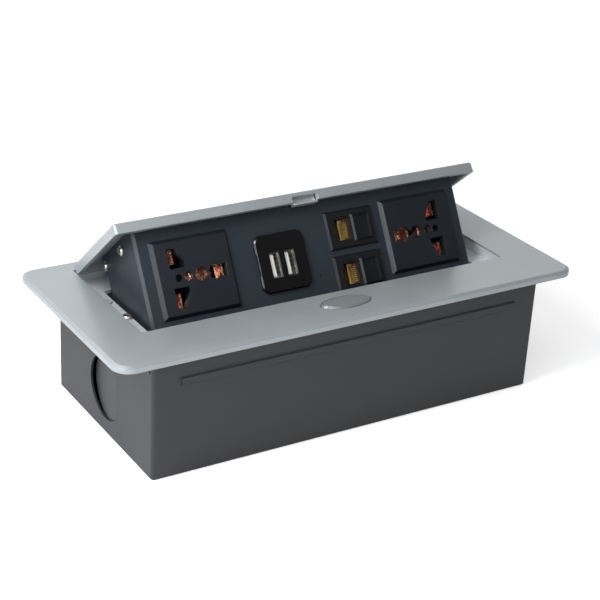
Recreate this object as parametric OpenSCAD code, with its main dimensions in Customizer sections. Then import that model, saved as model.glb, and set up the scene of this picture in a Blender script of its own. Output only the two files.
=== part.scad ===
// In-desk power module: a metal frame and a folded steel housing hold a tilting
// module with two universal mains outlets, a twin USB charger and two data jacks.
// Drawn open, as it stands in use.  Millimetres, X along the length, Y to the
// back, Z up, origin under the middle of the housing floor.

/* [Frame] */
// Overall height, housing floor to frame top
total_height = 67; // [60:0.5:110]
// Length of the frame
frame_length = 266; // [240:0.5:300]
// Depth of the frame, front to back
frame_depth = 120.4; // [116:0.1:140]
// Thickness of the frame plate
frame_thick = 3.4; // [3:0.1:5]
// Corner radius of the frame
frame_corner = 9; // [4:0.5:14]
// Width of the bevel round the top of the frame
frame_bevel = 1.8; // [0.5:0.1:3]
// Height of the bevel round the top of the frame
frame_bevel_drop = 0.9; // [0.3:0.1:1.5]
// Length of the opening in the frame
opening_length = 213.8; // [213.8:0.1:230]
// Front edge of the opening, measured from the middle
opening_front = 29.9; // [29:0.1:32]
// Back edge of the opening, measured from the middle
opening_back = 49.4; // [48.5:0.1:51]
// Depth of the ledge below the frame top
ledge_drop = 6.8; // [6.2:0.1:8]
// Thickness of the ledge
ledge_thick = 2; // [1.5:0.1:3]
// Half distance between the inner edges of the two side ledges
ledge_inner = 97.6; // [97.6:0.1:98.4]
// Width of the ledge along the back
ledge_back = 9.4; // [6:0.1:11]
// Wall thickness of the collar below the frame
collar_wall = 1.4; // [1:0.1:1.6]

/* [Housing] */
// Length of the steel housing
box_length = 225.7; // [222:0.1:240]
// Depth of the steel housing
box_depth = 108.4; // [108:0.1:114]
// Sheet thickness of the housing
box_wall = 1.2; // [0.8:0.1:1.5]
// Outer corner radius of the housing
box_corner = 2; // [1.5:0.1:4]
// Half length of the pressed rib along the housing wall
rib_half = 98; // [60:1:104]
// Height of the pressed rib
rib_height = 5.3; // [3:0.1:8]
// How far the rib stands out
rib_out = 0.9; // [0.4:0.1:1.5]
// Rib top, below the frame top
rib_drop = 13.7; // [12:0.1:20]
// Radius of the cord inlet flap lanced into each end
inlet_radius = 17; // [12:0.5:18.5]
// How far the back edge of the inlet flap is pushed in
inlet_depth = 2.8; // [1.8:0.1:4]
// Inlet centre, in front of the middle
inlet_forward = 2; // [0:0.5:12]
// Inlet centre, below the frame top
inlet_drop = 41.7; // [38:0.1:43]

/* [Tilting module] */
// Opening angle of the lid
open_angle = 41; // [30:0.5:41]
// Pivot position, behind the middle
pivot_back = 44.6; // [44:0.1:45]
// Pivot position, below the frame top
pivot_drop = 21.8; // [21.4:0.1:22.4]
// Diameter of the pivot pins
pin_diameter = 4; // [3:0.1:5]
// Running clearance on the radius of the pivot pins
pin_clearance = 0.05; // [0.02:0.01:0.1]
// Length of the lid
lid_length = 212.8; // [212:0.1:213]
// Depth of the lid
lid_depth = 61.5; // [58:0.1:62]
// Thickness of the lid at its rim
lid_rim = 5.4; // [4.5:0.1:5.6]
// Thickness of the lid plate
lid_plate = 2; // [1.5:0.1:2.4]
// Gap between the closed lid and the front edge of the opening
lid_gap = 1; // [0.6:0.1:2]
// Sheet thickness of the module carrier
carrier_wall = 1.2; // [1:0.1:1.5]
// Length of the module carrier over its sides
carrier_length = 191; // [188:0.5:191]
// Lean of the module face from square to the lid
face_lean = 11; // [9:0.5:12]
// Height of the module face
face_height = 55; // [52:0.5:56]
// Width of the bend between the face and the sides
face_bend = 1.4; // [0.4:0.1:1.6]

/* [Outlets] */
// Distance of each mains outlet from the middle
outlet_offset = 67; // [66:0.5:70]
// Length of the bevelled outlet plate
outlet_length = 43.4; // [42:0.1:46]
// Height of the bevelled outlet plate
outlet_height = 39.6; // [39:0.1:44]
// How far the outlet plate stands out
outlet_out = 2.2; // [1:0.1:3]
// Width of the bevel round the outlet plate
outlet_bevel = 1.8; // [1:0.1:2.4]
// Distance between the live and neutral slots
pin_pitch = 22.2; // [22.2:0.1:23]
// Width of the live and neutral slots
slot_wide = 5.2; // [5:0.1:5.8]
// Height of the live and neutral slots
slot_tall = 10; // [9:0.1:10.6]
// Depth of the outlet body behind the face
outlet_deep = 22; // [18:0.5:24]
// Length of the USB plate
usb_length = 29; // [27:0.1:30]
// Height of the USB plate
usb_height = 29.8; // [28:0.1:32]
// USB plate position, left of the middle
usb_left = 17.8; // [16:0.1:20]
// USB plate position, below the middle of the face
usb_down = 1.8; // [0:0.1:3]
// Length of a data jack plate
jack_length = 29.4; // [28:0.1:30]
// Height of a data jack plate
jack_height = 20.2; // [19:0.1:21]
// Distance between the two data jacks
jack_pitch = 23.2; // [22:0.1:24]
// Data jack plate position, right of the middle
jack_right = 25.9; // [25:0.1:26.5]

/* [Push button] */
// Length of the oval push button
button_length = 28.2; // [24:0.1:36]
// Width of the oval push button
button_width = 12.6; // [10:0.1:12.8]
// Gap round the push button
button_gap = 0.3; // [0.2:0.05:0.5]
// Button centre, in front of the middle
button_forward = 42.2; // [41.8:0.1:42.4]
// Button centre, right of the middle
button_right = 0; // [-2:0.5:2]
// Travel of the button and of the latch bolt
button_travel = 2.5; // [2:0.1:2.5]
// Width of the latch bolt
bolt_width = 12; // [10:0.5:12.5]

/* [Screws] */
// Diameter of the screw shanks
screw_diameter = 2.8; // [2.4:0.1:3.2]
// Diameter of the screw heads
screw_head = 5.4; // [4.8:0.1:6]

/* [Hidden] */
$fn = 48;
top = total_height;
under = top - frame_thick;
ledge_top = top - ledge_drop;
ledge_low = ledge_top - ledge_thick;
lid_top = pivot_drop - 0.2;
lid_low = lid_top - lid_rim;
lid_under = lid_top - lid_plate;
lid_front = -(pivot_back + opening_front - lid_gap);
lid_rear = lid_front + lid_depth;
rim = 2.6;
face_u = -62.34;
face_w = -8;
side_out = carrier_length / 2;
side_in = side_out - carrier_wall;
pin_r = pin_diameter / 2;
arm_x = 96.8;
bracket_wall = 1.8;
half_pitch = pin_pitch / 2;
stem = screw_diameter / 2;
head = screw_head / 2;
bx = button_right;
by = 3.2 - button_forward;
catch_half = bolt_width / 2 + 1.4;
seat = 0.4;
jack_up = 8.5;
e = 0.01;

// Rounded rectangle about the origin
module round_rect(w, h, r) {
    square([w, h - 2 * r], center = true);
    square([w - 2 * r, h], center = true);
    for (x = [-1, 1], y = [-1, 1]) translate([x * (w / 2 - r), y * (h / 2 - r)]) circle(r);
}

// Rounded plate with a bevel round its top edge, standing on z = 0
module bevel_plate(w, h, r, t, b, drop) {
    linear_extrude(t - drop + e) round_rect(w, h, r);
    translate([0, 0, t - drop]) {
        for (x = [-1, 1], y = [-1, 1]) translate([x * (w / 2 - r), y * (h / 2 - r), 0])
            cylinder(r1 = r, r2 = r - b, h = drop);
        rotate([90, 0, 90]) translate([0, 0, -w / 2 + r]) linear_extrude(w - 2 * r)
            polygon([[-h / 2, 0], [h / 2, 0], [h / 2 - b, drop], [-h / 2 + b, drop]]);
        rotate([90, 0, 0]) translate([0, 0, -h / 2 + r]) linear_extrude(h - 2 * r)
            polygon([[-w / 2, 0], [w / 2, 0], [w / 2 - b, drop], [-w / 2 + b, drop]]);
    }
}

// Square block whose four sides lean in by b over its height d
module leaning_block(w, h, d, b) {
    intersection() {
        rotate([90, 0, 0]) translate([0, 0, -h / 2]) linear_extrude(h)
            polygon([[-w / 2, 0], [w / 2, 0], [w / 2 - b, d], [-w / 2 + b, d]]);
        rotate([90, 0, 90]) translate([0, 0, -w / 2]) linear_extrude(w)
            polygon([[-h / 2, 0], [h / 2, 0], [h / 2 - b, d], [-h / 2 + b, d]]);
    }
}

// Oval of half length a and half width b
module oval(a, b) {
    polygon([for (i = [0 : 71]) [a * cos(5 * i), b * sin(5 * i)]]);
}

// Box between two corners
module span(a, b) {
    translate(a) cube(b - a);
}

// Pan-head screw, head standing on z = 0, shank going down
module pan_screw(long) {
    difference() {
        union() {
            cylinder(r = head, h = 1);
            translate([0, 0, 1]) cylinder(r1 = head, r2 = head - 0.8, h = 0.7);
            translate([0, 0, -long]) cylinder(r = stem - 0.08, h = long);
        }
        for (a = [0, 90]) rotate([0, 0, a]) translate([-1.5, -0.3, 0.7]) cube([3, 0.6, 2]);
    }
}

// Coil spring along z: rings leaning to and fro so that each meets the next
module coil(r, wire, h, turns) {
    pitch = (h - 2 * wire) / turns;
    for (i = [0 : turns - 1]) translate([0, 0, wire + (i + 0.5) * pitch])
        rotate([(i % 2 == 0 ? 1 : -1) * asin(pitch / 2 / r), 0, 0])
        rotate_extrude() translate([r, 0]) circle(wire);
}

// Place what turns with the lid: pivot at the origin, lid level
module in_tilt() {
    translate([0, pivot_back, top - pivot_drop]) rotate([-open_angle, 0, 0]) children();
}

// Place on the module face: x along, y up the face, z out of it
module on_face() {
    in_tilt() translate([0, face_u, face_w]) rotate([90 + face_lean, 0, 0]) children();
}

// Places of the carrier screws, in front of the pivot with the lid level
side_screws = [-50.8, -27.1];
side_level = 14.1;

// Places of the four frame screws on the ledge
screw_places = [[-100.2, -0.3], [100.2, -0.3], [-60, opening_back - 4.7], [60, opening_back - 4.7]];

// Die-cast frame with the collar and the ledge the lid shuts on
module frame() color("#aeb3b6") {
    mid = (opening_back - opening_front) / 2;
    deep = opening_back + opening_front;
    back = opening_back - ledge_back;
    difference() {
        union() {
            translate([0, 0, under]) bevel_plate(frame_length, frame_depth, frame_corner, frame_thick,
                frame_bevel, frame_bevel_drop);
            translate([0, mid, ledge_low]) linear_extrude(under - ledge_low + e)
                round_rect(opening_length + 2 * collar_wall, deep + 2 * collar_wall, 3);
        }
        translate([0, mid, ledge_top]) linear_extrude(ledge_drop + 1) round_rect(opening_length, deep, 1.2);
        translate([0, 0, ledge_low - 1]) linear_extrude(ledge_drop + 4)
            for (s = [-1, 1]) scale([s, 1]) polygon([[-e, -opening_front], [ledge_inner, -opening_front],
            [ledge_inner, back - 6.6], [ledge_inner - 9, back - 6.6], [ledge_inner - 9, back], [-e, back]]);
        for (p = screw_places) translate([p[0], p[1], ledge_low - 1]) cylinder(r = stem + 0.2, h = 4);
        translate([0, 0, under - 1]) linear_extrude(1 + seat) difference() {
            round_rect(box_length + 0.3, box_depth + 0.3, box_corner + 0.15);
            round_rect(box_length - 2 * box_wall - 0.3, box_depth - 2 * box_wall - 0.3, box_corner - 1);
        }
        translate([bx, -button_forward, under - 1]) linear_extrude(frame_thick + 2)
            oval(button_length / 2 + button_gap, button_width / 2 + button_gap);
        translate([bx, -button_forward, top - 0.5]) linear_extrude(1)
            oval(button_length / 2 + button_gap + 0.3, button_width / 2 + button_gap + 0.3);
        span([bx - bolt_width / 2 - 0.6, -opening_front - 3, ledge_low - 1],
            [bx + bolt_width / 2 + 0.6, -opening_front + 1, under]);
        for (s = [-1, 1]) translate([bx + s * 26, by, under - 1]) cylinder(r = 1.2, h = 3.2);
    }
}

// Outline of a cord inlet flap, cut off straight at its fold
module inlet_shape(r, fold) {
    intersection() {
        translate([-inlet_forward, top - inlet_drop]) circle(r);
        translate([fold, 0]) square(60);
    }
}

// Folded steel housing with pressed ribs, cord inlet flaps and welded screw tabs
module housing_box() color("#3c3d41") {
    ih = box_depth / 2 - box_wall;
    iw = box_length / 2 - box_wall;
    rz = top - rib_drop;
    lean = asin(inlet_depth / inlet_radius / 1.75);
    hinge = -inlet_forward - 0.75 * inlet_radius;
    difference() {
        union() {
            translate([0, 0, under + seat]) mirror([0, 0, 1])
                bevel_plate(box_length, box_depth, box_corner, under + seat, 0.8, 0.8);
            for (s = [-1, 1]) scale([1, s, 1]) translate([-rib_half, -box_depth / 2, 0]) rotate([90, 0, 90])
                linear_extrude(2 * rib_half) polygon([[0.3, rz], [-rib_out, rz - 1],
                [-rib_out, rz - rib_height + 1], [0.3, rz - rib_height]]);
        }
        translate([0, 0, box_wall]) linear_extrude(top) round_rect(2 * iw, 2 * ih, box_corner - box_wall + 0.2);
        for (s = [-1, 1]) scale([1, s, 1]) translate([-rib_half + 1.5, -ih, 0]) rotate([90, 0, 90])
            linear_extrude(2 * rib_half - 3) polygon([[0.5, rz - 0.6], [-0.7, rz - 1.6],
            [-0.7, rz - rib_height + 1.6], [0.5, rz - rib_height + 0.6]]);
        for (s = [-1, 1]) scale([s, 1, 1]) translate([iw - 1, 0, 0]) rotate([90, 0, 90])
            linear_extrude(box_wall + 2) inlet_shape(inlet_radius, hinge);
        for (x = [-1, 1], y = [-1, 1]) translate([x * box_length / 2, y * (box_depth / 2 - 3.4), top - 9.6])
            cube([6, 1.2, 2.6], center = true);
    }
    for (s = [-1, 1]) scale([s, 1, 1]) translate([iw + box_wall, hinge, 0]) rotate([0, 0, lean])
        translate([-box_wall, -hinge, 0]) rotate([90, 0, 90]) linear_extrude(box_wall)
        inlet_shape(inlet_radius - 0.3, hinge - 0.3);
    for (s = [-1, 1]) {
        difference() {
            union() {
                span([s > 0 ? ledge_inner + 0.4 : -iw - e, -8, ledge_low - box_wall],
                    [s > 0 ? iw + e : -ledge_inner - 0.4, 8, ledge_low]);
                span([s > 0 ? iw - box_wall : -iw - e, -8, ledge_low - 11],
                    [s > 0 ? iw + e : -iw + box_wall, 8, ledge_low]);
            }
            translate([s * 100.2, -0.3, ledge_low - 3]) cylinder(r = stem + 0.02, h = 4);
        }
        difference() {
            union() {
                span([s * 60 - 8, opening_back - ledge_back, ledge_low - box_wall], [s * 60 + 8, ih + e, ledge_low]);
                span([s * 60 - 8, ih - box_wall, ledge_low - 11], [s * 60 + 8, ih + e, ledge_low]);
            }
            translate([s * 60, opening_back - 4.7, ledge_low - 3]) cylinder(r = stem + 0.02, h = 4);
        }
    }
}

// Four screws holding the frame to the housing tabs
module frame_screws() color("#c9c6bf") {
    for (p = screw_places) translate([p[0], p[1], ledge_top]) pan_screw(ledge_thick + box_wall + 2);
}

// Soft pads the lid shuts on
module ledge_pads() color("#202124") {
    for (s = [-1, 1], y = [-22, 20]) translate([s * 101.5, y, ledge_top]) cylinder(r = 2.6, h = 0.8);
}

// Moulded guide below the front bar for button and bolt
module button_housing() color("#2a2b2e") {
    difference() {
        union() {
            span([bx - 22, by - 13.4, under - 13], [bx + 22, -opening_front - collar_wall - 0.3, under]);
            span([bx - 29, by - 4, under - 2.6], [bx + 29, by + 4, under]);
        }
        span([bx - 20.4, by - 9.9, under - 9], [bx + 20.4, by + 10, under + 1]);
        span([bx - 3.4, by - 3.4, under - 11.6], [bx + 3.4, by + 2, under - 8]);
        for (s = [-1, 1]) {
            translate([bx + s * 14, by, under - 11.8]) cylinder(r = 3, h = 4);
            translate([bx + s * 26, by, under - 5]) cylinder(r = 1.25, h = 8);
        }
        translate([bx, by - 6.2, under - 7.6]) rotate([90, 0, 0]) cylinder(r = 1.95, h = 6.2);
    }
}

// Two screws holding the guide to the frame
module housing_screws() color("#c9c6bf") {
    for (s = [-1, 1]) translate([bx + s * 26, by, under - 2.6]) mirror([0, 0, 1]) {
        cylinder(r = 2.2, h = 1.3);
        translate([0, 0, -4.6]) cylinder(r = 1.1, h = 4.6);
    }
}

// Oval push button with its stop bar and its wedge
module push_button() color("#a4a9ac") {
    translate([bx, -button_forward, 0]) {
        translate([0, 0, under - 0.3]) linear_extrude(frame_thick + 0.3) oval(button_length / 2, button_width / 2);
        for (i = [1 : 3]) translate([0, 0, top - 0.1]) linear_extrude(0.1 + i * 0.2)
            oval(button_length / 2 - i * i * 0.15, button_width / 2 - i * i * 0.15);
    }
    translate([bx, by, 0]) {
        span([-19.8, -3, under - 2.8], [19.8, 3, under - 0.3]);
        rotate([90, 0, 90]) translate([0, 0, -2.9]) linear_extrude(5.8)
            polygon([[-3, under - 2.7], [-3, under - 4.9], [0.8, under - 8.7], [1.4, under - 8.7],
            [1.4, under - 2.7]]);
    }
}

// Two return springs below the button
module button_springs() color("#9c9e9f") {
    for (s = [-1, 1]) translate([bx + s * 14, by, under - 11.8]) coil(2, 0.35, 9, 5);
}

// Latch bolt: nose, riser and tail with a window for the wedge
module latch_bolt() color("#b7b4ac") {
    translate([bx, by, 0]) difference() {
        rotate([90, 0, 90]) translate([0, 0, -bolt_width / 2]) linear_extrude(bolt_width)
            polygon([[-7, under - 8.6], [9.9, under - 8.6], [9.9, under - 2.2], [12.6, under - 2.2],
            [12.2, under - 0.5], [8.6, under - 0.5], [8.6, under - 6.6], [-7, under - 6.6]]);
        rotate([90, 0, 90]) translate([0, 0, -3.3]) linear_extrude(6.6)
            polygon([[-1.72 - 0.6, under - 6], [-1.72, under - 6.6], [0.28, under - 8.6], [0.28, under - 9],
            [4.2, under - 9], [4.2, under - 6]]);
    }
}

// Return spring of the bolt
module latch_spring() color("#9c9e9f") {
    translate([bx, by - 7, under - 7.6]) rotate([90, 0, 0]) coil(1.4, 0.25, 2.6, 3);
}

// Bracket hanging below the ledge, carrying the pivot pin
module bracket(s) {
    scale([s, 1, 1]) difference() {
        union() {
            rotate([90, 0, 90]) translate([0, 0, arm_x]) linear_extrude(bracket_wall) {
                translate([pivot_back, top - pivot_drop]) circle(6.5);
                translate([pivot_back - 6.5, top - pivot_drop]) square([13, ledge_low - top + pivot_drop]);
                translate([pivot_back - 8.6, ledge_low - 3.6]) square([4, 3.6]);
            }
            translate([arm_x - 2.8, pivot_back, top - pivot_drop]) rotate([-open_angle, 0, 0])
                translate([0, -12.4, 4.8]) rotate([0, 90, 0]) cylinder(r = 1, h = 3);
            span([arm_x, pivot_back - 6.5, ledge_low - bracket_wall],
                [box_length / 2 - box_wall, pivot_back + 6.5, ledge_low]);
            span([box_length / 2 - box_wall - bracket_wall, pivot_back - 6.5, ledge_low - 12],
                [box_length / 2 - box_wall, pivot_back + 6.5, ledge_low]);
        }
        translate([arm_x - 1, pivot_back, top - pivot_drop]) rotate([0, 90, 0])
            cylinder(r = pin_r + 0.02, h = 6);
    }
}

module bracket_left() color("#85888a") bracket(-1);
module bracket_right() color("#85888a") bracket(1);

// Pivot pins with a head outside the brackets
module pivot_pins() color("#b9bcbe") {
    for (s = [-1, 1]) scale([s, 1, 1]) translate([0, pivot_back, top - pivot_drop]) rotate([0, 90, 0]) {
        translate([0, 0, 83.5]) cylinder(r = pin_r, h = arm_x + bracket_wall - 83.5 + e);
        translate([0, 0, arm_x + bracket_wall]) cylinder(r = pin_r + 1.4, h = 1.4);
        translate([0, 0, 82]) cylinder(r = pin_r + 1.4, h = 1.5);
    }
}

// Springs that swing the module open
module tilt_springs() color("#9c9e9f") {
    for (s = [-1, 1]) scale([s, 1, 1]) translate([0, pivot_back, top - pivot_drop]) {
        translate([84.2, 0, 0]) rotate([0, 90, 0]) coil(pin_r + 0.75, 0.45, 7.6, 5);
    }
}

// Die-cast lid: plate, rim all round, lugs for the carrier screws
module tilt_lid() color("#b4b9bb") in_tilt() {
    mid = lid_front + lid_depth / 2;
    difference() {
        union() {
            difference() {
                translate([0, mid, lid_low]) bevel_plate(lid_length, lid_depth, 1.4, lid_rim, 0.5, 0.5);
                translate([0, mid, lid_low - 1]) linear_extrude(lid_rim - lid_plate + 1)
                    round_rect(lid_length - 2 * rim, lid_depth - 2 * rim, 0.8);
            }
            for (s = [-1, 1], y = side_screws)
                span([s > 0 ? side_in - 5 : -side_in + 0.1, y - 3.6, 10], [s > 0 ? side_in - 0.1 : -side_in + 5,
                    y + 3.6, lid_under + e]);
        }
        for (s = [-1, 1], y = side_screws) translate([s * (side_in - 5), y, side_level]) rotate([0, 90, 0])
            cylinder(r = stem, h = 30, center = true);
        span([bx - catch_half, lid_front - 1, lid_low - 1], [bx + catch_half, lid_front + rim + 0.2,
            lid_under - 0.2]);
    }
}

// Folded steel carrier: face with its openings, two sides and stiffening lips
module module_carrier() color("#30353d") difference() {
    union() {
        on_face() difference() {
            translate([-side_out, -face_height / 2, -carrier_wall])
                cube([carrier_length, face_height + 0.2, carrier_wall]);
            for (s = [-1, 1]) translate([s * outlet_offset, 0, 0])
                cube([outlet_length - 5, outlet_height - 5, 9], center = true);
            translate([-usb_left, -usb_down, 0]) cube([usb_length - 4, usb_height - 4, 9], center = true);
            for (y = [jack_up, jack_up - jack_pitch]) translate([jack_right, y, 0])
                cube([jack_length - 4.6, jack_height - 4, 9], center = true);
            for (p = [[-10.2, 21.9], [3.2, -13.1]]) translate([p[0], p[1], -0.3]) cylinder(r = 0.8, h = 1);
        }
        in_tilt() {
            span([-side_out, face_u - 4, lid_under - carrier_wall], [side_out, face_u + 7.6, lid_under]);
            for (s = [-1, 1]) scale([s, 1, 1]) difference() {
                rotate([90, 0, 90]) translate([0, 0, side_in]) linear_extrude(carrier_wall) {
                    polygon([[-67.6, lid_under], [-24, lid_under], [-24, 14], [-26.3, 9], [-23.3, 0], [-4, 6],
                        [4, -5], [-20, -17], [-54, -34], [-57.4, -34]]);
                    translate([-27.1, 14.1]) circle(5);
                    circle(6.5);
                }
                translate([90, 0, 0]) rotate([0, 90, 0]) cylinder(r = pin_r + pin_clearance, h = 10);
                for (y = side_screws) translate([90, y, side_level]) rotate([0, 90, 0]) cylinder(r = stem, h = 10);
            }
        }
        on_face() span([-side_out, -face_height / 2, -9], [side_out, -face_height / 2 + carrier_wall, -0.2]);
    }
    on_face() for (s = [-1, 1]) scale([s, 1, 1]) rotate([90, 0, 0]) linear_extrude(90, center = true)
        polygon([[side_out + 1, 1], [side_out + 1, -face_bend - 1], [side_out, -face_bend],
        [side_out - face_bend, 0], [side_out - face_bend - 1, 1]]);
}

// Four screws holding the carrier sides to the lid lugs
module carrier_screws() color("#c9c6bf") in_tilt() {
    for (s = [-1, 1], y = side_screws) scale([s, 1, 1]) translate([side_out, y, side_level])
        rotate([0, 90, 0]) pan_screw(5);
}

// Folded catch plate in the notch of the front rim
module catch_plate() color("#cfd2d2") in_tilt() {
    y0 = lid_front + rim + 0.3;
    span([bx - catch_half + 0.4, y0, lid_low - 1.2], [bx + catch_half - 0.4, y0 + 1, lid_under - 0.8]);
    span([bx - catch_half + 0.4, lid_front + 0.4, lid_low - 1.2], [bx + catch_half - 0.4, y0 + 0.5,
        lid_low - 0.3]);
    span([bx - catch_half + 0.4, y0, lid_under - 1], [bx + catch_half - 0.4, face_u - 6,
        lid_under]);
}

// Openings of one universal outlet, earth to the right
module outlet_slots() {
    for (s = [-1, 1]) scale([1, s]) translate([-half_pitch, half_pitch]) {
        translate([0.2, 3.7 - slot_tall / 2]) square([slot_wide, slot_tall], center = true);
        polygon([[-0.4, -6.3], [6.1, -6.3], [6, -3.5], [2.7, 1.9], [-0.4, 1.9]]);
    }
    translate([-9.7, 0]) circle(1.9);
    translate([-4.5, 0]) circle(2.3);
    translate([2.6, 0]) circle(3.4);
    translate([half_pitch - 0.5, 0]) circle(4);
    translate([half_pitch + 4.4, 0]) square([3, 6], center = true);
    translate([6.3, 0]) square([3, 2.6], center = true);
}

// One outlet: bevelled plate in front, chambers for the contacts behind
module outlet() {
    difference() {
        union() {
            leaning_block(outlet_length, outlet_height, outlet_out, outlet_bevel);
            translate([-(outlet_length - 5.6) / 2, -(outlet_height - 5.6) / 2, -outlet_deep])
                cube([outlet_length - 5.6, outlet_height - 5.6, outlet_deep + e]);
        }
        translate([0, 0, -2.5]) linear_extrude(9) outlet_slots();
        for (s = [-1, 1]) translate([-half_pitch, s * 9.2, -outlet_deep / 2 - 1.5])
            cube([13, 14, outlet_deep], center = true);
        translate([6.8, 0, -outlet_deep / 2 - 0.5]) cube([21.2, 11, outlet_deep], center = true);
        translate([-7.4, 0, -4.4]) cube([9, 4.8, 6], center = true);
        for (s = [-1, 1]) translate([15.6, s * 13.6, -outlet_deep]) cylinder(r = 1.1, h = 12, center = true);
    }
}

module outlet_left() color("#232529") on_face() translate([-outlet_offset, 0, 0]) outlet();
module outlet_right() color("#232529") on_face() translate([outlet_offset, 0, 0]) rotate(180) outlet();

// Cover closing the back of an outlet
module outlet_cover() {
    difference() {
        translate([-(outlet_length - 5.6) / 2, -(outlet_height - 5.6) / 2, -outlet_deep - 1.8])
            cube([outlet_length - 5.6, outlet_height - 5.6, 1.8]);
        for (s = [-1, 1]) {
            translate([-half_pitch, s * 9.2, -outlet_deep]) cube([6, 6, 9], center = true);
            translate([15.6, s * 13.6, -outlet_deep]) cylinder(r = 1.3, h = 9, center = true);
        }
        translate([4.4, 0, -outlet_deep]) cube([6, 6, 9], center = true);
    }
}

module outlet_cover_left() color("#2c2e31") on_face() translate([-outlet_offset, 0, 0]) outlet_cover();
module outlet_cover_right() color("#2c2e31") on_face() translate([outlet_offset, 0, 0]) rotate(180)
    outlet_cover();

// Pair of spring leaves on a base with a terminal block behind
module line_contact(s) {
    translate([-half_pitch, s * half_pitch, 0]) {
        for (x = [-2.7, 1.9]) span([x, -3.8, -14], [x + 0.8, 3.8, -3.2]);
        span([-2.7, -3.8, -14.8], [2.7, 3.8, -13.9]);
        span([-2.4, -s * 2 - 2.4, -24.6], [2.4, -s * 2 + 2.4, -14.8]);
    }
}

module earth_contact() {
    for (y = [-4.2, 3.4]) span([-2.6, y, -14], [16, y + 0.8, -0.9]);
    for (x = [6.1, 15.2]) span([x, -4.2, -9], [x + 0.8, 4.2, -0.9]);
    span([-2.6, -4.2, -14.8], [16, 4.2, -13.9]);
    span([-2.6, -4.2, -4], [-1.8, 4.2, -3]);
    span([-6.8, -1.8, -4], [-1.8, 1.8, -3]);
    span([2, -2.4, -24.6], [6.8, 2.4, -14.8]);
}

module live_left() color("#b8744a") on_face() translate([-outlet_offset, 0, 0]) line_contact(1);
module neutral_left() color("#b8744a") on_face() translate([-outlet_offset, 0, 0]) line_contact(-1);
module earth_left() color("#b8744a") on_face() translate([-outlet_offset, 0, 0]) earth_contact();
module live_right() color("#b8744a") on_face() translate([outlet_offset, 0, 0]) rotate(180) line_contact(1);
module neutral_right() color("#b8744a") on_face() translate([outlet_offset, 0, 0]) rotate(180)
    line_contact(-1);
module earth_right() color("#b8744a") on_face() translate([outlet_offset, 0, 0]) rotate(180) earth_contact();

// USB plate with two upright openings and a snap notch at each side
module usb_plate() color("#151517") on_face() translate([-usb_left, -usb_down, 0]) difference() {
    union() {
        bevel_plate(usb_length, usb_height, 4.6, 2, 0.7, 0.7);
        translate([-(usb_length - 4.6) / 2, -(usb_height - 4.6) / 2, -14])
            cube([usb_length - 4.6, usb_height - 4.6, 14 + e]);
    }
    translate([0, 0, -14.6]) cube([usb_length - 7.4, usb_height - 7.4, 22], center = true);
    for (x = [-4.7, 4.1]) translate([x, -1.2, -2]) cube([5.5, 13, 12], center = true);
    for (s = [-1, 1]) translate([s * usb_length / 2, 0, 0.6]) cube([2, 11, 2], center = true);
}

// Circuit board behind the USB openings
module usb_board() color("#24513a") on_face() translate([-usb_left, -usb_down, -13.6])
    translate([-9.5, -10, 0]) cube([19, 20, 1.6]);

// Formed metal tubes of the two USB openings
module usb_tubes() color("#c8c9c8") on_face() for (x = [-4.7, 4.1]) translate([x - usb_left, -usb_down - 1.2, 0])
    difference() {
        span([-2.65, -6.4, -12], [2.65, 6.4, 1]);
        span([-2.3, -6.05, -11.6], [2.3, 6.05, 2]);
    }

// White tongues in the two USB openings
module usb_tongues() color("#ecebe6") on_face() for (x = [-4.7, 4.1]) translate([x - usb_left, -usb_down - 1.2, 0])
    span([-1.7, -5.6, -11.6], [0.2, 5.6, 0.2]);

// Bevelled plate of a data jack, the jack lying on its side beside a raised label window
module jack_plate() {
    difference() {
        union() {
            leaning_block(jack_length, jack_height, 1.6, 0.9);
            translate([-(jack_length - 5) / 2, -(jack_height - 4.4) / 2, -16])
                cube([jack_length - 5, jack_height - 4.4, 16 + e]);
            translate([6, 0, 1.5]) leaning_block(11.4, 14.4, 1.3, 0.8);
        }
        translate([-5.2, 0, -6]) cube([9.4, 12.4, 24], center = true);
        translate([-10.2, 0, -1]) cube([2, 6.4, 14], center = true);
        translate([6.2, 0, 2.4]) cube([8.6, 12.4, 1.8], center = true);
    }
}

module jack_plate_upper() color("#1b1c1f") on_face() translate([jack_right, jack_up, 0]) jack_plate();
module jack_plate_lower() color("#1b1c1f") on_face() translate([jack_right, jack_up - jack_pitch, 0])
    jack_plate();

// Black insert lining a data jack
module jack_insert() {
    difference() {
        span([-9.85, -6.15, -15.5], [-0.55, 6.15, 1.2]);
        span([-9.3, -5.6, -14.9], [-1.1, 5.6, 2]);
        span([-10, -3.1, -8], [-9, 3.1, 2]);
    }
}

module jack_insert_upper() color("#18191b") on_face() translate([jack_right, jack_up, 0]) jack_insert();
module jack_insert_lower() color("#18191b") on_face() translate([jack_right, jack_up - jack_pitch, 0])
    jack_insert();

// Eight sprung wires on their comb at the inner side of the insert
module jack_wires() {
    for (i = [0 : 7]) translate([-1.5, (i - 3.5) * 1.08 - 0.4, -0.9]) rotate([0, -160, 0])
        span([-0.2, -0.25, 0], [0.2, 0.25, 4.8]);
    span([-3.9, -5.2, -6.4], [-1.15, 5.2, -5.2]);
    span([-2.6, -5.2, -14.5], [-1.15, 5.2, -6.3]);
}

module jack_wires_upper() color("#c9a24a") on_face() translate([jack_right, jack_up, 0]) jack_wires();
module jack_wires_lower() color("#c9a24a") on_face() translate([jack_right, jack_up - jack_pitch, 0])
    jack_wires();

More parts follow.
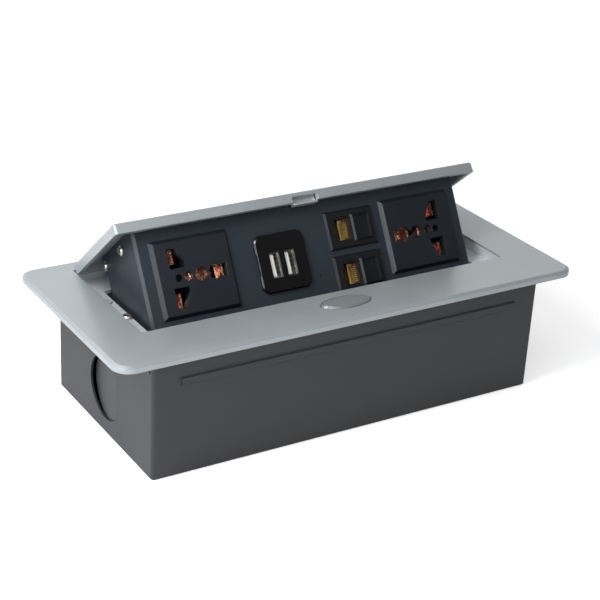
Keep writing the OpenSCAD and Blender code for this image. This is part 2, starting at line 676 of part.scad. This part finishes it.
frame();
housing_box();
frame_screws();
ledge_pads();
button_housing();
housing_screws();
push_button();
button_springs();
latch_bolt();
latch_spring();
bracket_left();
bracket_right();
pivot_pins();
tilt_springs();
tilt_lid();
module_carrier();
carrier_screws();
catch_plate();
outlet_left();
outlet_right();
outlet_cover_left();
outlet_cover_right();
live_left();
neutral_left();
earth_left();
live_right();
neutral_right();
earth_right();
usb_plate();
usb_board();
usb_tubes();
usb_tongues();
jack_plate_upper();
jack_plate_lower();
jack_insert_upper();
jack_insert_lower();
jack_wires_upper();
jack_wires_lower();
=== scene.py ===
"""In-desk power module, open: silver frame and lid, dark steel housing and a tilting face with outlets."""

from math import radians

import bpy
from mathutils import Matrix, Vector


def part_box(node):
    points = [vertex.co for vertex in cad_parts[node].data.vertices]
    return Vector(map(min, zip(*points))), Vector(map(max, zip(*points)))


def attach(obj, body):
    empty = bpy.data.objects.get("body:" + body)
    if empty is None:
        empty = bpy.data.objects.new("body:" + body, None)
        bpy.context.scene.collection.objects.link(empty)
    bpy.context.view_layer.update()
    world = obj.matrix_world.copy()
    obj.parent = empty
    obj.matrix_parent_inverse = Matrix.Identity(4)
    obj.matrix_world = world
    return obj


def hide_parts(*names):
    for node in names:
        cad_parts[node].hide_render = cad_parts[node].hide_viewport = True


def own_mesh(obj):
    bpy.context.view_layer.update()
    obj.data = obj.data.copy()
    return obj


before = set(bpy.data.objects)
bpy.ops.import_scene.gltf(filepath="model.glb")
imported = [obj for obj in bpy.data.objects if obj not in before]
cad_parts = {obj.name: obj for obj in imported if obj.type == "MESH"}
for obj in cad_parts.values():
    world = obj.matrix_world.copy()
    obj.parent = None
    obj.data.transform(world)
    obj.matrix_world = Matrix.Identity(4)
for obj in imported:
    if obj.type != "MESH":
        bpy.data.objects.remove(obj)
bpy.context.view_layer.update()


# Frame.
# A die-cast alloy plate that lies on the desk, with a bevelled rim and a ledge round its opening
# that the lid shuts on. It is sprayed with a fine silver lacquer.
MM = 0.001


def linear(code):
    """sRGB hex to the linear colour that the shaders take."""
    parts = [int(code[i : i + 2], 16) / 255 for i in (1, 3, 5)]
    return tuple(p / 12.92 if p <= 0.04045 else ((p + 0.055) / 1.055) ** 2.4 for p in parts) + (1.0,)


def add(tree, kind, inputs=None, **settings):
    """One node with its settings; an input is a value or the socket it is linked from."""
    made = tree.nodes.new(kind)
    for key, value in settings.items():
        setattr(made, key, value)
    for key, value in (inputs or {}).items():
        if isinstance(value, bpy.types.NodeSocket):
            tree.links.new(value, made.inputs[key])
        else:
            made.inputs[key].default_value = value
    return made


def finish_of(name, dark, light, rough, spread, grain_mm, depth_mm, patch_mm=30, edge_mm=0.3, **sockets):
    """A surface whose colour drifts between two tones, with a fine grain in its relief and its gloss.

    patch_mm is the width of the drift, grain_mm and depth_mm are the width and height of the grain,
    and edge_mm is how far sharp edges are worn round.
    """
    mat = bpy.data.materials.new(name)
    mat.use_nodes = True
    tree = mat.node_tree
    shader = tree.nodes["Principled BSDF"]
    place = add(tree, "ShaderNodeTexCoord").outputs["Object"]
    patch = add(tree, "ShaderNodeTexNoise", {"Vector": place, "Scale": 1 / (patch_mm * MM), "Detail": 3.0})
    grain = add(tree, "ShaderNodeTexNoise", {"Vector": place, "Scale": 1 / (grain_mm * MM), "Detail": 2.0})
    drift = add(tree, "ShaderNodeMix", {"Factor": 0.5, "A": patch.outputs["Fac"], "B": grain.outputs["Fac"]})
    tone = add(tree, "ShaderNodeMix", {"Factor": drift.outputs[0], "A": linear(dark), "B": linear(light)},
               data_type="RGBA")
    # The noise hardly leaves the middle half of its range, which is stretched to the whole spread.
    gloss = add(tree, "ShaderNodeMapRange", {"Value": drift.outputs[0], "From Min": 0.25, "From Max": 0.75,
                                             "To Min": rough - spread, "To Max": rough + spread})
    edge = add(tree, "ShaderNodeBevel", {"Radius": edge_mm * MM}, samples=6)
    relief = add(tree, "ShaderNodeBump", {"Height": grain.outputs["Fac"], "Distance": depth_mm * MM,
                                          "Strength": 1.0, "Normal": edge.outputs[0]})
    tree.links.new(tone.outputs["Result"], shader.inputs["Base Color"])
    tree.links.new(gloss.outputs[0], shader.inputs["Roughness"])
    tree.links.new(relief.outputs[0], shader.inputs["Normal"])
    for key, value in sockets.items():
        shader.inputs[key.replace("_", " ")].default_value = value
    return mat


def paint(mat, *names):
    """Give solids that keep their own mesh a finish."""
    for name in names:
        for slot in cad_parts[name].material_slots:
            slot.material = mat


# Silver lacquer: aluminium flakes below a clear coat give a soft grey sheen with a faint sharp gleam
# on top. The flakes are about 0.05 mm wide, and their grain is drawn 0.9 mm wide so that it shows.
silver_lacquer = finish_of("silver_lacquer_on_die_casting", "#93999d", "#abb0b3", rough=0.36, spread=0.05,
                           grain_mm=0.9, depth_mm=0.006,
                           Metallic=0.45, Coat_Weight=0.4, Coat_Roughness=0.12)

# Painted light: the lamps hardly reach into the opening, so its walls and ledge are painted a paler
# tone. This light band stands in for light, below a rim of 1.2 mm that keeps the lacquer's own tone.
# The half sizes reach 0.3 mm past the walls on each side.
opening_half_length = 107.2 * MM
opening_half_depth = 39.95 * MM
opening_middle = 9.75 * MM
rim_above_painted_light = 1.2 * MM
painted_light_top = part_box("frame")[1][2] - rim_above_painted_light
frame_lacquer_with_painted_light = silver_lacquer.copy()
frame_lacquer_with_painted_light.name = "silver_lacquer_with_painted_light_in_opening"
coat = frame_lacquer_with_painted_light.node_tree
shader = coat.nodes["Principled BSDF"]
lacquer_tone = shader.inputs["Base Color"].links[0].from_socket
place = add(coat, "ShaderNodeTexCoord").outputs["Object"]
across, back, height = add(coat, "ShaderNodeSeparateXYZ", {0: place}).outputs
near_x = add(coat, "ShaderNodeMath", {0: across, 1: 0.0, 2: opening_half_length}, operation="COMPARE")
near_y = add(coat, "ShaderNodeMath", {0: back, 1: opening_middle, 2: opening_half_depth},
             operation="COMPARE")
sunk = add(coat, "ShaderNodeMath", {0: height, 1: painted_light_top}, operation="LESS_THAN")
within = add(coat, "ShaderNodeMath", {0: near_x.outputs[0], 1: near_y.outputs[0]}, operation="MULTIPLY")
painted_light_zone = add(coat, "ShaderNodeMath", {0: within.outputs[0], 1: sunk.outputs[0]}, operation="MULTIPLY")
# The painted light itself: a pale grey laid over the lacquer's tone on the opening's walls and ledge.
painted_light = add(coat, "ShaderNodeMix", {"Factor": painted_light_zone.outputs[0], "A": lacquer_tone, "B": linear("#ced3d7")},
           data_type="RGBA")
coat.links.new(painted_light.outputs["Result"], shader.inputs["Base Color"])
paint(frame_lacquer_with_painted_light, "frame")


# Lid.
# The same die-cast alloy and lacquer as the frame: a shallow tray with a rim all round and a notch
# in the front rim, screwed by its lugs to the module carrier.
paint(silver_lacquer, "tilt_lid")


# Push button.
# A separate oval casting that stands in the front bar of the frame and works the latch.
# The frame's lacquer, worn a little smoother by fingers, so that a lamp draws a tighter gleam on it.
button_lacquer = finish_of("silver_lacquer_on_button", "#979da0", "#abb0b3", rough=0.3, spread=0.04,
                           grain_mm=0.9, depth_mm=0.004,
                           Metallic=0.6, Coat_Weight=0.5, Coat_Roughness=0.1)
paint(button_lacquer, "push_button")


# Housing.
# Folded sheet steel with pressed ribs and round cord inlets, hung below the frame by four screws.
# A matt powder coat, dark grey and even, whose orange peel of about 1 mm breaks up every reflection.
powder_coat = finish_of("charcoal_powder_coat", "#27282b", "#2f3034", rough=0.48, spread=0.06,
                        grain_mm=1.1, depth_mm=0.02, patch_mm=45, Specular_IOR_Level=0.5)
paint(powder_coat, "housing_box")


# Module carrier.
# Folded steel face and sides that hold the outlets, plates and jacks below the lid.
# A finer powder that levels out to a satin skin with a cold blue cast.
face_coat = finish_of("blue_black_powder_coat", "#20262e", "#282f38", rough=0.42, spread=0.05,
                      grain_mm=0.8, depth_mm=0.008, patch_mm=40)
paint(face_coat, "module_carrier")


# Mains outlets.
# Moulded plates with crisp bevels, set in the carrier's face, each with a cover that shuts its back.
# The guide of the button and the latch is moulded from the covers' plastic.

# Matt black polycarbonate: the mould's spark-eroded texture leaves a dim, wide sheen on each bevel.
# Its grit of about 0.15 mm is drawn 0.7 mm wide so that it shows.
outlet_plastic = finish_of("spark_eroded_polycarbonate", "#12161c", "#181d25", rough=0.41, spread=0.06,
                           grain_mm=0.7, depth_mm=0.02, patch_mm=20, edge_mm=0.2)
paint(outlet_plastic, "outlet_left", "outlet_right")

# Polypropylene: dull, slightly waxy and without any sharp gleam.
cover_plastic = finish_of("moulded_black_polypropylene", "#1b1c1e", "#222325", rough=0.55, spread=0.05,
                          grain_mm=1.0, depth_mm=0.01)
paint(cover_plastic, "outlet_cover_left", "outlet_cover_right", "button_housing")


# Contacts in the outlets.
# Spring leaves and earth sleeves stamped from a copper alloy, on terminal blocks behind the openings.
# Bare rolled strip: warm orange gleams, broken into patches of 2 mm by a faint tarnish.
copper = finish_of("stamped_phosphor_bronze", "#cf8f6b", "#fbd9c6", rough=0.27, spread=0.09,
                   grain_mm=1.2, depth_mm=0.01, patch_mm=2, edge_mm=0.1, Metallic=0.9)
for side in ("left", "right"):
    paint(copper, "live_" + side, "neutral_" + side, "earth_" + side)


# USB plate.
# A rounded black ABS moulding, snapped into the face of the carrier.
# Polished: nearly a black mirror, which shows the lamps as sharp streaks with a slight ripple.
usb_plastic = finish_of("polished_black_abs", "#0a0a0b", "#0e0e10", rough=0.17, spread=0.03,
                        grain_mm=6.0, depth_mm=0.004, patch_mm=12)
paint(usb_plastic, "usb_plate")


# USB sockets.
# A folded metal tube round a white tongue in each opening, soldered to a circuit board behind.

# Bright nickel plate: a mirror, slightly warm, that catches a thin line on each rim.
nickel = finish_of("bright_nickel_plate", "#c3c3c0", "#d4d4d1", rough=0.2, spread=0.06,
                   grain_mm=2.0, depth_mm=0.004, patch_mm=8, edge_mm=0.08, Metallic=1.0)
paint(nickel, "usb_tubes")

# White nylon: clean and even, with a weak soft gloss.
tongue = finish_of("white_nylon", "#f1f0ea", "#faf9f4", rough=0.3, spread=0.05,
                   grain_mm=1.5, depth_mm=0.004, patch_mm=6, edge_mm=0.1)
paint(tongue, "usb_tongues")

# Solder mask: a glossy dark green film. The glass weave below it is drawn 1.5 mm wide so that it shows.
laminate = finish_of("green_solder_mask", "#173a28", "#1f4a33", rough=0.3, spread=0.05,
                     grain_mm=1.5, depth_mm=0.01, patch_mm=5)
paint(laminate, "usb_board")


# USB contact pads.
# Four gold-plated strips stand side by side on the right-hand face of each white tongue,
# in one row at a fixed pitch, moulded into the nylon.

# Flash gold plate: a thin smooth skin that gives a clear yellow glint.
gold = finish_of("flash_gold_plate", "#e3b44e", "#ffe29d", rough=0.3, spread=0.05,
                 grain_mm=1.0, depth_mm=0.002, patch_mm=2, edge_mm=0.06, Metallic=0.75)


def node_group(name, sizes):
    """A Geometry Nodes group with these sizes as named inputs, and the sockets that hand them out."""
    tree = bpy.data.node_groups.new(name, "GeometryNodeTree")
    tree.interface.new_socket("Geometry", in_out="OUTPUT", socket_type="NodeSocketGeometry")
    for key, (kind, value) in sizes.items():
        tree.interface.new_socket(key, in_out="INPUT", socket_type=kind)
    return tree, add(tree, "NodeGroupInput").outputs


def made_by(tree, name, sizes, place):
    """The piece that a node group makes at these sizes, as a plain mesh that stands in its place."""
    piece = bpy.data.objects.new(name, bpy.data.meshes.new(name))
    bpy.context.scene.collection.objects.link(piece)
    maker = piece.modifiers.new("maker", "NODES")
    maker.node_group = tree
    for socket in tree.interface.items_tree:
        if socket.in_out == "INPUT":
            maker[socket.identifier] = sizes[socket.name][1]
    plain = bpy.data.meshes.new_from_object(piece.evaluated_get(bpy.context.evaluated_depsgraph_get()))
    piece.modifiers.clear()
    plain.transform(place)
    piece.data = plain
    return piece


pad_count = 4
pad_pitch = 2.3
pad_thick = 0.12
pad_sizes = {
    "Count": ("NodeSocketInt", pad_count),
    "Pitch": ("NodeSocketVector", (0, pad_pitch * MM, 0)),
    "Pad size": ("NodeSocketVector", (pad_thick * MM, 1.0 * MM, 6.5 * MM)),
    "Finish": ("NodeSocketMaterial", gold),
}
row, given = node_group("pad_row", pad_sizes)
line = add(row, "GeometryNodeMeshLine", {"Count": given["Count"], "Offset": given["Pitch"]})
pad = add(row, "GeometryNodeMeshCube", {"Size": given["Pad size"]})
placed = add(row, "GeometryNodeInstanceOnPoints", {"Points": line.outputs["Mesh"],
                                                   "Instance": pad.outputs["Mesh"]})
solid = add(row, "GeometryNodeRealizeInstances", {"Geometry": placed.outputs["Instances"]})
dressed = add(row, "GeometryNodeSetMaterial", {"Geometry": solid.outputs["Geometry"],
                                               "Material": given["Finish"]})
add(row, "NodeGroupOutput", {"Geometry": dressed.outputs["Geometry"]})

# With the module open its face stands 60 degrees from flat. Places on the face are in mm, to the right
# of its middle, up it and out of it: the sockets' middles, and a tongue's right-hand face from there.
face_place = Matrix.Translation((0, -7.7 * MM, 80.06 * MM)) @ Matrix.Rotation(radians(60), 4, "X")
sockets_up = -3.0
lowest_pad = sockets_up - pad_pitch * (pad_count - 1) / 2
pads_out = -4.2
tongue_face = 0.2
for side, socket_right in (("left", -22.5), ("right", -13.7)):
    first_pad = Vector((socket_right + tongue_face + pad_thick / 2, lowest_pad, pads_out))
    pads = made_by(row, "usb_pads_" + side, pad_sizes, face_place @ Matrix.Translation(first_pad * MM))
    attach(pads, "module")


# Data jacks.
# Moulded black plates and inserts, one jack above the other, each with eight gold-plated spring wires.
# Semi-gloss ABS: darker than the outlets, with narrower and clearer gleams on its bevels.
jack_plastic = finish_of("moulded_black_abs", "#0d0e11", "#121317", rough=0.38, spread=0.06,
                         grain_mm=1.5, depth_mm=0.006, patch_mm=10, edge_mm=0.15)
paint(jack_plastic, "jack_plate_upper", "jack_plate_lower", "jack_insert_upper", "jack_insert_lower")
paint(gold, "jack_wires_upper", "jack_wires_lower")


# Brackets, pins and bolt.
# Folded steel brackets below the ledge at each end, the pivot pins in them, and the sliding latch bolt.
# Zinc plate: a dull light grey metal, blotched in patches of 6 mm.
zinc = finish_of("zinc_plated_steel", "#9a9c9b", "#b4b6b4", rough=0.34, spread=0.08,
                 grain_mm=1.2, depth_mm=0.01, patch_mm=6, Metallic=1.0)
paint(zinc, "latch_bolt", "bracket_left", "bracket_right", "pivot_pins")


# Catch plate.
# A folded steel strip in the lid's front notch, which the nose of the latch bolt holds.
# Bright zinc plate: paler than the brackets, and it picks up the white room.
bright_zinc = finish_of("bright_zinc_on_catch_plate", "#c3c9c7", "#d9dedc", rough=0.3, spread=0.06,
                        grain_mm=1.0, depth_mm=0.006, patch_mm=5, Metallic=0.7)
paint(bright_zinc, "catch_plate")


# Screws.
# Pan-head screws that hold the housing, the guide and the carrier.
# Nickel plate, tumbled: a warm light grey, with a soft gleam on each domed head.
screw_plate = finish_of("nickel_plated_screw", "#aaa69d", "#c9c5bb", rough=0.28, spread=0.08,
                        grain_mm=0.8, depth_mm=0.008, patch_mm=3, Metallic=1.0)
paint(screw_plate, "frame_screws", "housing_screws", "carrier_screws")


# Latch spring and tilt springs.
# The coil behind the latch bolt, and one coil on each pivot pin that swings the module open.
# Drawn spring steel: bright lines along the wire. The marks of drawing are drawn 0.6 mm wide to show.
spring_wire = finish_of("bright_spring_wire", "#858688", "#a2a3a5", rough=0.25, spread=0.06,
                        grain_mm=0.6, depth_mm=0.006, Metallic=1.0)
paint(spring_wire, "latch_spring", "tilt_springs")


# Ledge pads.
# Four soft pads, glued to the ledge, that the lid shuts on.
# Grey silicone: dull and even, the tone of the frame without its sheen.
silicone = finish_of("grey_silicone", "#83888b", "#8f9497", rough=0.6, spread=0.05,
                     grain_mm=0.8, depth_mm=0.01)
paint(silicone, "ledge_pads")


# Button springs.
# Two coils of the same spring wire below the ends of the button's stop bar. Their feet stand in the
# guide, so pressing the button squeezes them by its stroke.
coil_spacing = 28 * MM
coil_play = 0.4 * MM
coil_sizes = {
    "Turns": ("NodeSocketFloat", 5.0),
    "Coil radius": ("NodeSocketFloat", 2.0 * MM),
    "Wire radius": ("NodeSocketFloat", 0.35 * MM),
    "Free height": ("NodeSocketFloat", 8.2 * MM),
    "Spacing": ("NodeSocketVector", (coil_spacing, 0, 0)),
    "Finish": ("NodeSocketMaterial", spring_wire),
}
winding, given = node_group("wound_coil", coil_sizes)
helix = add(winding, "GeometryNodeCurveSpiral", {"Resolution": 20, "Rotations": given["Turns"],
                                                 "Start Radius": given["Coil radius"],
                                                 "End Radius": given["Coil radius"],
                                                 "Height": given["Free height"]})
section = add(winding, "GeometryNodeCurvePrimitiveCircle", {"Resolution": 10, "Radius": given["Wire radius"]})
wire = add(winding, "GeometryNodeCurveToMesh", {"Curve": helix.outputs["Curve"],
                                                "Profile Curve": section.outputs["Curve"],
                                                "Fill Caps": True})
feet = add(winding, "GeometryNodeMeshLine", {"Count": 2, "Offset": given["Spacing"]})
pair = add(winding, "GeometryNodeInstanceOnPoints", {"Points": feet.outputs["Mesh"],
                                                     "Instance": wire.outputs["Mesh"]})
wound = add(winding, "GeometryNodeRealizeInstances", {"Geometry": pair.outputs["Instances"]})
shiny = add(winding, "GeometryNodeSetMaterial", {"Geometry": wound.outputs["Geometry"],
                                                 "Material": given["Finish"]})
add(winding, "NodeGroupOutput", {"Geometry": shiny.outputs["Geometry"]})

# The wire's middle starts above the seat by half its thickness and a hair of play.
low, high = (Vector(corner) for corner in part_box("button_springs"))
middle = (low + high) / 2
left_foot = Matrix.Translation((middle.x - coil_spacing / 2, middle.y, low.z + coil_play))
coils = made_by(winding, "button_coils", coil_sizes, left_foot)
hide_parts("button_springs")
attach(coils, "base")
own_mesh(coils)


# Floor.
# A sweep of white paper for the part to stand on, which takes its soft shadow.
# It is white to the camera alone, by a faint glow that throws no light on the part.
white_paper = bpy.data.materials.new("white_paper_sweep")
white_paper.use_nodes = True
sweep = white_paper.node_tree
sweep.nodes.clear()
paper = add(sweep, "ShaderNodeBsdfDiffuse", {"Color": linear("#f2f2f2")})

# The lamps light the paper less the further out it lies, so its glow grows from 0.3 m to 1.3 m away.
floor_place = add(sweep, "ShaderNodeTexCoord").outputs["Object"]
distance = add(sweep, "ShaderNodeVectorMath", {0: floor_place}, operation="LENGTH")
evened = add(sweep, "ShaderNodeMapRange", {"Value": distance.outputs["Value"],
                                           "From Min": 0.3, "From Max": 1.3,
                                           "To Min": 0.42, "To Max": 0.85})
glow = add(sweep, "ShaderNodeEmission", {"Color": (1, 1, 1, 1), "Strength": evened.outputs[0]})
nothing = add(sweep, "ShaderNodeEmission", {"Strength": 0.0})
seen = add(sweep, "ShaderNodeLightPath").outputs["Is Camera Ray"]
shown = add(sweep, "ShaderNodeMixShader", {0: seen, 1: nothing.outputs[0], 2: glow.outputs[0]})
summed = add(sweep, "ShaderNodeAddShader", {0: paper.outputs[0], 1: shown.outputs[0]})
add(sweep, "ShaderNodeOutputMaterial", {"Surface": summed.outputs[0]})

reach = 6
floor_mesh = bpy.data.meshes.new("floor")
floor_mesh.from_pydata([(-reach, -reach, 0), (reach, -reach, 0), (reach, reach, 0), (-reach, reach, 0)],
                       [], [(0, 1, 2, 3)])
floor_mesh.materials.append(white_paper)
floor = bpy.data.objects.new("floor", floor_mesh)
bpy.context.scene.collection.objects.link(floor)


# Light.
# A white room, bright behind the part and dim on the camera's side, and four soft lamps: one over
# the left end, one in front, a small one that reaches into the outlets and jacks, and a low cool one
# at the left that draws the bright lines on the bevels.
white_room = bpy.data.worlds.new("white_room")
bpy.context.scene.world = white_room
white_room.use_nodes = True
sky = white_room.node_tree
sky.nodes.clear()
outward = add(sky, "ShaderNodeTexCoord").outputs["Generated"]
to_the_back = add(sky, "ShaderNodeVectorMath", {0: outward, 1: (0, 1, 0)}, operation="DOT_PRODUCT")
level = add(sky, "ShaderNodeMapRange", {"Value": to_the_back.outputs["Value"],
                                        "From Min": 0.0, "From Max": 1.0, "To Min": 0.12, "To Max": 1.1})
walls = add(sky, "ShaderNodeBackground", {"Color": (1, 1, 1, 1), "Strength": level.outputs[0]})
backdrop = add(sky, "ShaderNodeBackground", {"Color": (1, 1, 1, 1), "Strength": 1.0})
to_eye = add(sky, "ShaderNodeLightPath").outputs["Is Camera Ray"]
either = add(sky, "ShaderNodeMixShader", {0: to_eye, 1: walls.outputs[0], 2: backdrop.outputs[0]})
add(sky, "ShaderNodeOutputWorld", {"Surface": either.outputs[0]})


def lamp(name, place, aim, size, watts, tint=(1, 1, 1)):
    """A soft rectangular lamp, turned from its place towards its aim; in metres and watts."""
    data = bpy.data.lights.new(name, "AREA")
    data.shape = "RECTANGLE"
    data.size, data.size_y = size
    data.energy = watts
    data.color = tint
    made = bpy.data.objects.new(name, data)
    made.location = place
    made.rotation_euler = (Vector(aim) - Vector(place)).to_track_quat("-Z", "Y").to_euler()
    bpy.context.scene.collection.objects.link(made)


lamp("near_softbox", place=(-0.4, -0.06, 0.48), aim=(-0.08, 0, 0.06), size=(0.26, 0.26), watts=3.1)
lamp("front_softbox", place=(-0.15, -0.5, 0.9), aim=(0, 0, 0.05), size=(0.6, 0.5), watts=2.4)
lamp("small_fill", place=(-0.3, -0.62, 0.46), aim=(0, 0, 0.08), size=(0.12, 0.12), watts=0.9)
lamp("left_softbox", place=(-1.1, -0.38, 0.34), aim=(0, 0, 0.05), size=(0.95, 0.55), watts=6.4,
     tint=(0.9, 0.95, 1.0))


# Camera.
# At the photograph's place, above the front left corner and looking down the module. Its place, its
# two directions and its long lens were worked out from the straight edges in the photograph.
camera_place = Vector((-0.4008, -0.6205, 0.3943))
right = Vector((0.8671, -0.4967, 0.039)).normalized()
ahead = Vector((0.4632, 0.7748, -0.4301)).normalized()
up = right.cross(ahead).normalized()
right = ahead.cross(up).normalized()
camera_data = bpy.data.cameras.new("camera")
camera_data.sensor_width = 36
camera_data.lens = 93.6
camera_data.shift_x = 0.0825
camera_data.shift_y = 0.0178
camera_data.clip_start = 0.01
camera = bpy.data.objects.new("camera", camera_data)
turned = Matrix((right, up, -ahead)).transposed().to_4x4()
camera.matrix_world = Matrix.Translation(camera_place) @ turned
bpy.context.scene.collection.objects.link(camera)
bpy.context.scene.camera = camera
bpy.context.scene.view_settings.view_transform = "Standard"
